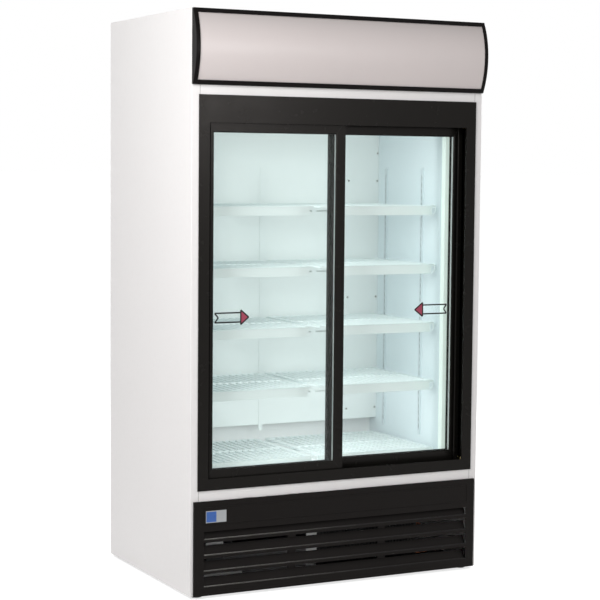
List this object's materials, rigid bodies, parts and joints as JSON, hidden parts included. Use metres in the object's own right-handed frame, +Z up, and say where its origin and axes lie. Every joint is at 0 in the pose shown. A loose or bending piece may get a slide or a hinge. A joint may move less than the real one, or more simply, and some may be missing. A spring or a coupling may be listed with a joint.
{
  "type": "beverage display refrigerator",
  "caption": "Upright white beverage display refrigerator with black-framed sliding glass doors, slatted shelves, a louvred base grille and a curved light canopy.",
  "frame": {"origin": "on the floor, at the middle of the outer width and of the outer depth, canopy included", "axes": "+X to the right seen from the front, +Y to the back, +Z up"},
  "size_m": [1.14, 0.7899, 1.99],
  "materials": {
    "white_paint": "semi-gloss",
    "liner_white": "satin",
    "back_sheet": "galvanised",
    "foam": "matte",
    "black_profile": "black, satin",
    "glass": "clear",
    "spacer_bar": "bright",
    "seal": "matte",
    "hanger_steel": "zinc plated",
    "roller_plastic": "matte",
    "shelf_coat": "semi-gloss",
    "light_cover": "translucent, satin",
    "coil": "mill finish",
    "fan_plastic": "matte",
    "zinc_sheet": "galvanised",
    "compressor_paint": "gloss",
    "copper": "bare copper",
    "drain_plastic": "matte",
    "black_plastic": "matte",
    "canopy_black": "satin",
    "canopy_diffuser": "translucent, satin",
    "light_strip": "matte",
    "grille_paint": "satin"
  },
  "bodies": {
    "cabinet": {"side_panel_left": "white_paint", "side_panel_right": "white_paint", "roof_panel": "white_paint", "upper_front_panel": "white_paint", "tub_floor_panel": "white_paint", "back_panel": "back_sheet", "power_gland": "black_plastic", "foam_insulation": "foam", "liner_left": "liner_white", "liner_right": "liner_white", "liner_back": "liner_white", "liner_ceiling": "liner_white", "liner_floor": "liner_white", "frame_header": "black_profile", "frame_sill": "black_profile", "frame_jamb_left": "black_profile", "frame_jamb_right": "black_profile", "shelf_left_1": "shelf_coat", "shelf_left_2": "shelf_coat", "shelf_left_3": "shelf_coat", "shelf_left_4": "shelf_coat", "shelf_right_1": "shelf_coat", "shelf_right_2": "shelf_coat", "shelf_right_3": "shelf_coat", "shelf_right_4": "shelf_coat", "floor_rack": "shelf_coat", "shelf_standards": "shelf_coat", "shelf_supports": "shelf_coat", "light_bars": "light_cover", "air_duct_panel": "liner_white", "evaporator_cover": "liner_white", "evaporator_coil": "coil", "canopy_frame": "canopy_black", "canopy_lens": "canopy_diffuser", "canopy_light_strips": "light_strip", "louvre_grille": "grille_paint", "base_pan": "zinc_sheet", "levelling_feet": "black_plastic", "condenser_coil": "coil", "condenser_fan_mount": "zinc_sheet", "compressor": "compressor_paint", "refrigerant_tubes": "copper", "condensate_drain": "drain_plastic", "control_box": "zinc_sheet"},
    "left_door": {"left_door_frame": "black_profile", "left_door_glass": "glass", "left_door_spacer": "spacer_bar", "left_door_hangers": "hanger_steel"},
    "right_door": {"right_door_frame": "black_profile", "right_door_glass": "glass", "right_door_spacer": "spacer_bar", "right_door_hangers": "hanger_steel", "meeting_seal": "seal"},
    "left_door_roller_a": {"left_door_roller_outer": "roller_plastic"},
    "left_door_roller_b": {"left_door_roller_inner": "roller_plastic"},
    "right_door_roller_a": {"right_door_roller_outer": "roller_plastic"},
    "right_door_roller_b": {"right_door_roller_inner": "roller_plastic"},
    "condenser_rotor": {"condenser_fan": "fan_plastic"},
    "evaporator_rotor": {"evaporator_fan": "fan_plastic"},
    "thermostat_dial": {"thermostat_knob": "black_plastic"}
  },
  "joints": [
    {"name": "left_door_slide", "type": "slide", "parent": "cabinet", "child": "left_door", "axis": [1, 0, 0], "range_m": [0, 0.5]},
    {"name": "right_door_slide", "type": "slide", "parent": "cabinet", "child": "right_door", "axis": [-1, 0, 0], "range_m": [0, 0.5]},
    {"name": "left_door_roller_a_turn", "type": "hinge", "parent": "left_door", "child": "left_door_roller_a", "pos_m": [-0.41, -0.341, 1.6558], "axis": [0, 1, 0], "range_deg": [0, 2865]},
    {"name": "left_door_roller_b_turn", "type": "hinge", "parent": "left_door", "child": "left_door_roller_b", "pos_m": [-0.093, -0.341, 1.6558], "axis": [0, 1, 0], "range_deg": [0, 2865]},
    {"name": "right_door_roller_a_turn", "type": "hinge", "parent": "right_door", "child": "right_door_roller_a", "pos_m": [0.41, -0.282, 1.6558], "axis": [0, -1, 0], "range_deg": [0, 2865]},
    {"name": "right_door_roller_b_turn", "type": "hinge", "parent": "right_door", "child": "right_door_roller_b", "pos_m": [0.093, -0.282, 1.6558], "axis": [0, -1, 0], "range_deg": [0, 2865]},
    {"name": "condenser_fan_spin", "type": "hinge", "parent": "cabinet", "child": "condenser_rotor", "pos_m": [0.15, -0.218, 0.142], "axis": [0, 1, 0], "continuous": true},
    {"name": "evaporator_fan_spin", "type": "hinge", "parent": "cabinet", "child": "evaporator_rotor", "pos_m": [0, -0.155, 1.7825], "axis": [0, 1, 0], "continuous": true},
    {"name": "thermostat_turn", "type": "hinge", "parent": "cabinet", "child": "thermostat_dial", "pos_m": [-0.458, -0.32, 0.151], "axis": [0, 1, 0], "range_deg": [0, 270]}
  ],
  "couplings": [
    {"joint": "left_door_roller_a_turn", "follows": "left_door_slide", "rad_per_m": 100},
    {"joint": "left_door_roller_b_turn", "follows": "left_door_slide", "rad_per_m": 100},
    {"joint": "right_door_roller_a_turn", "follows": "right_door_slide", "rad_per_m": 100},
    {"joint": "right_door_roller_b_turn", "follows": "right_door_slide", "rad_per_m": 100}
  ]
}
